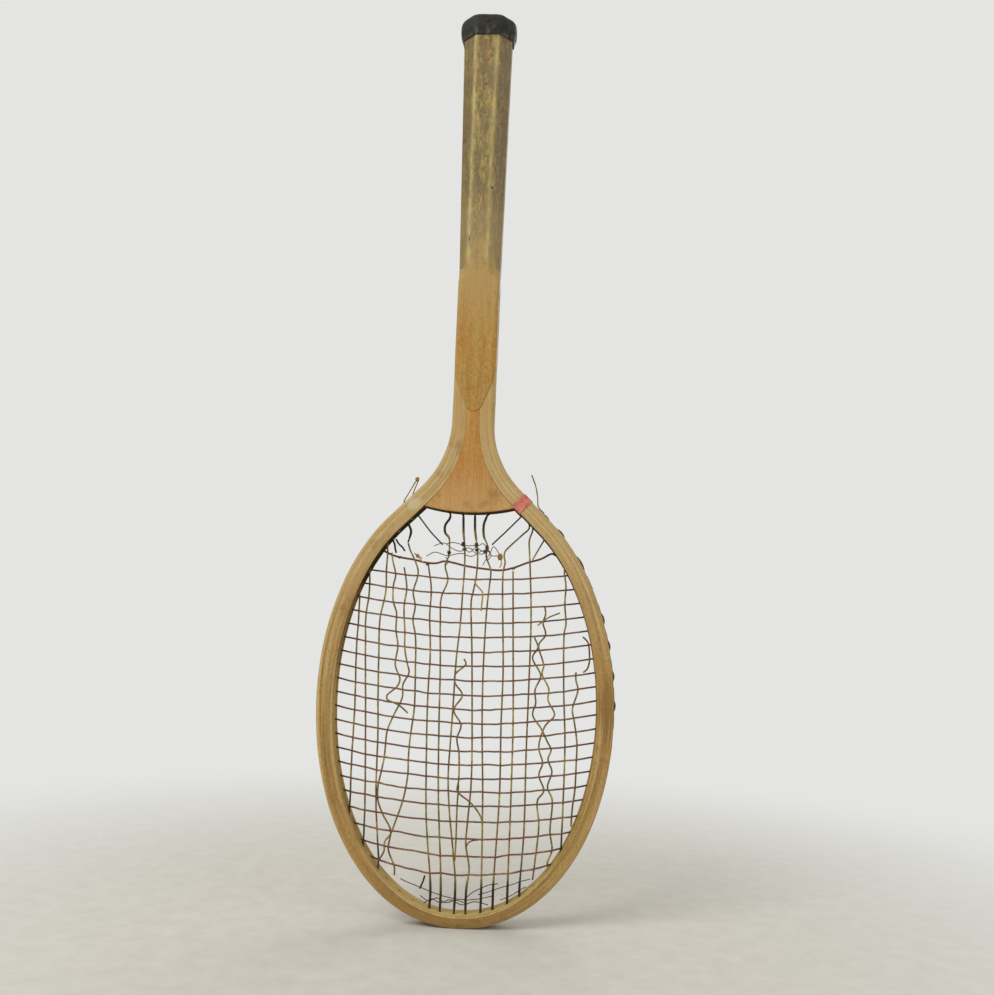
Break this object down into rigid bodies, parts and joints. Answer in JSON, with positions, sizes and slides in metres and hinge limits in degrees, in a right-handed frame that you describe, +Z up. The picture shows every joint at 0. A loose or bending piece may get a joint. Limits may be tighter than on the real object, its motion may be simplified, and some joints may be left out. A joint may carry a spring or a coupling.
{
  "type": "wooden tennis racket",
  "caption": "Old wooden tennis racket: a bent hoop with a throat wedge, slack gut strings with broken ones, an octagonal wooden grip and a leather butt cap.",
  "frame": {"origin": "under the middle of the toe, the lowest point of the hoop, in the middle of the racket's width and depth", "axes": "+Z up the handle, +X across the head, -Y the face that the picture shows"},
  "size_m": [0.2172, 0.0382, 0.687],
  "materials": {
    "ash": "old varnish, worn",
    "wedge_wood": "old varnish, satin",
    "cheek_wood": "worn by hands, matt",
    "core_wood": "plain",
    "cap_leather": "worn black leather",
    "tack_metal": "tarnished",
    "gut": "aged gut",
    "red_gut": "aged gut, reddish",
    "tape": "faded red cloth"
  },
  "bodies": {
    "root": {"hoop": "ash", "throat_wedge": "wedge_wood", "handle_core": "core_wood", "grip_front_cheek": "cheek_wood", "grip_back_cheek": "cheek_wood", "butt_cap": "cap_leather", "cap_tack_front": "tack_metal", "cap_tack_back": "tack_metal", "cross_string": "gut", "main_string_left": "gut", "main_string_centre": "gut", "main_string_right": "gut", "throat_cross_string": "red_gut", "broken_string_left_outer": "gut", "broken_string_left_middle": "gut", "broken_string_left_inner": "gut", "broken_string_centre": "gut", "broken_string_right_inner": "gut", "broken_string_right_outer": "gut", "slack_string_right_upper": "gut", "slack_string_right_lower": "gut", "throat_string_left_end": "gut", "throat_string_left": "gut", "throat_string_right": "gut", "throat_string_right_end": "gut", "toe_string_end": "gut", "loose_end_left": "gut", "loose_end_right": "gut", "shoulder_binding": "tape"}
  },
  "joints": []
}
